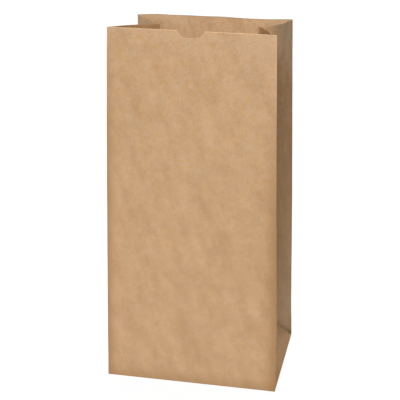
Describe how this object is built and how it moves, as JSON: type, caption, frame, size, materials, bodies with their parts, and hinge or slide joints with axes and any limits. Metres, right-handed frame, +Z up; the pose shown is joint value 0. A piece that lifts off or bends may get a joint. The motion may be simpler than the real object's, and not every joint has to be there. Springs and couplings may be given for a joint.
{
  "type": "lawn and leaf bag",
  "caption": "Tall open kraft paper sack with a flat folded base, pleated side gussets and a thumb notch in the front of its mouth, for collecting leaves and yard waste.",
  "frame": {"origin": "middle of the folded base, on the surface that the bag stands on", "axes": "+Z up from the base to the mouth, -Y out of the front panel with the thumb notch, +X to the right seen from the front"},
  "size_m": [0.406, 0.3259, 0.824],
  "materials": {
    "kraft_paper": "matt natural brown kraft, unprinted"
  },
  "bodies": {
    "root": {"paper_sack": "kraft_paper"}
  },
  "joints": []
}
